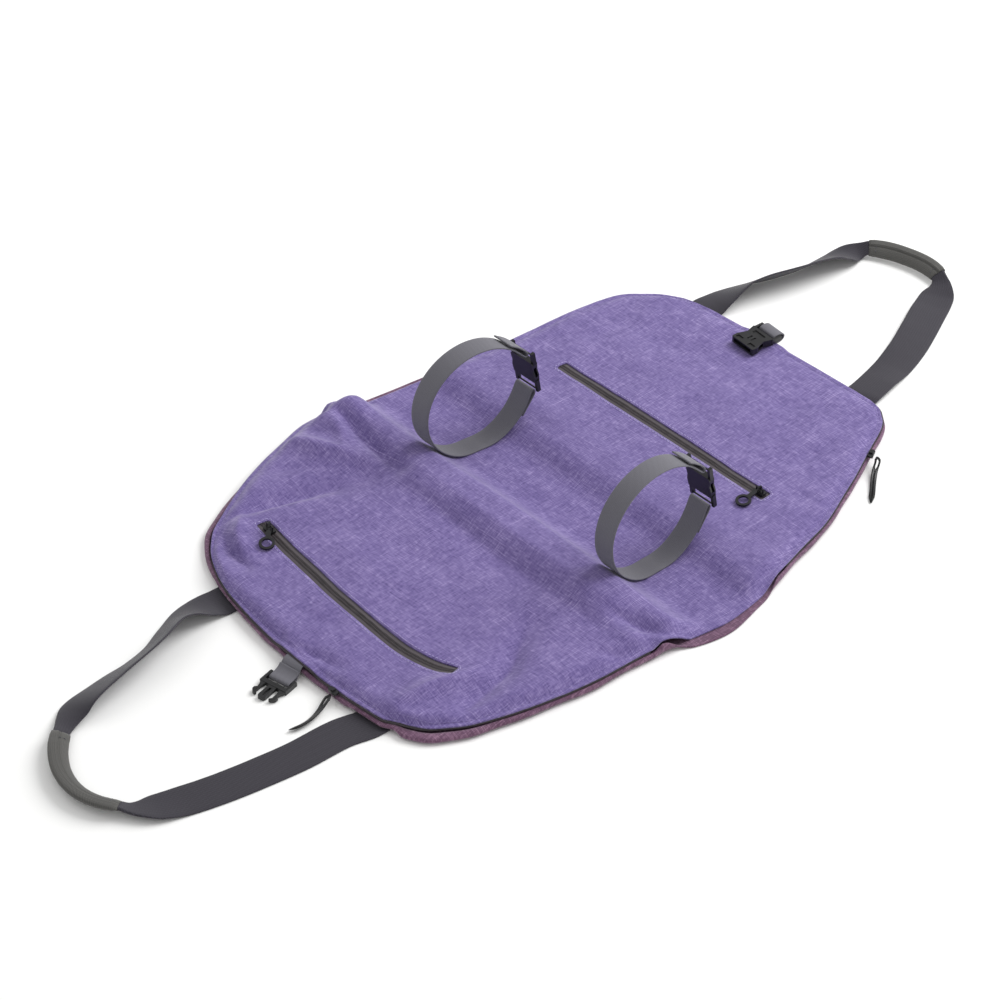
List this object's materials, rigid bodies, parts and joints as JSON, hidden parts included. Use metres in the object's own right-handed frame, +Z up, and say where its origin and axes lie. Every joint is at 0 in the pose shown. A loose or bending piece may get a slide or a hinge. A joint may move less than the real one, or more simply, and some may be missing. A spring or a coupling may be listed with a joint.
{
  "type": "yoga mat bag",
  "caption": "Soft bag for a rolled mat, opened flat: pouch wings with zips beside a base with fastened mat straps, looped webbing handles, padded grips and a parted clip.",
  "frame": {"origin": "on the floor under the middle of the base that carries the mat", "axes": "+X along the rolled mat, +Y from the left wing to the right wing, +Z up"},
  "size_m": [0.5167, 1.2115, 0.1301],
  "materials": {
    "shell_cloth": "woven canvas, matte",
    "lining_cloth": "woven canvas, matte",
    "zip_tape": "zip tape and nylon coil, matte",
    "hard_plastic": "moulded, satin",
    "soft_pull": "moulded, matte",
    "handle_webbing": "twill webbing, matte",
    "grip_cloth": "plain cloth, matte",
    "strap_webbing": "smooth webbing, matte"
  },
  "bodies": {
    "bag": {"outer_shell": "shell_cloth", "lining": "lining_cloth", "pocket_zip_left": "zip_tape", "pocket_zip_right": "zip_tape", "edge_zip_left": "zip_tape", "edge_zip_right": "zip_tape", "pocket_slider_left": "hard_plastic", "pocket_slider_right": "hard_plastic", "edge_slider_left": "hard_plastic", "edge_slider_right": "hard_plastic", "edge_pull_left": "soft_pull", "edge_pull_right": "soft_pull", "handle_left": "handle_webbing", "handle_right": "handle_webbing", "grip_left": "grip_cloth", "grip_right": "grip_cloth", "mat_strap_1": "strap_webbing", "mat_strap_2": "strap_webbing", "strap_buckle_1": "hard_plastic", "strap_buckle_2": "hard_plastic", "closure_tab_left": "handle_webbing", "closure_tab_right": "handle_webbing", "buckle_male": "hard_plastic", "buckle_female": "hard_plastic"},
    "pull_left": {"pocket_pull_left": "hard_plastic"},
    "pull_right": {"pocket_pull_right": "hard_plastic"}
  },
  "joints": [
    {"name": "pull_left_hinge", "type": "hinge", "parent": "bag", "child": "pull_left", "pos_m": [-0.151, -0.2535, 0.02646], "axis": [-0.7314, -0.682, 0], "range_deg": [0, 150]},
    {"name": "pull_right_hinge", "type": "hinge", "parent": "bag", "child": "pull_right", "pos_m": [0.135, 0.152, 0.02008], "axis": [-1, 0, 0], "range_deg": [0, 150]}
  ]
}
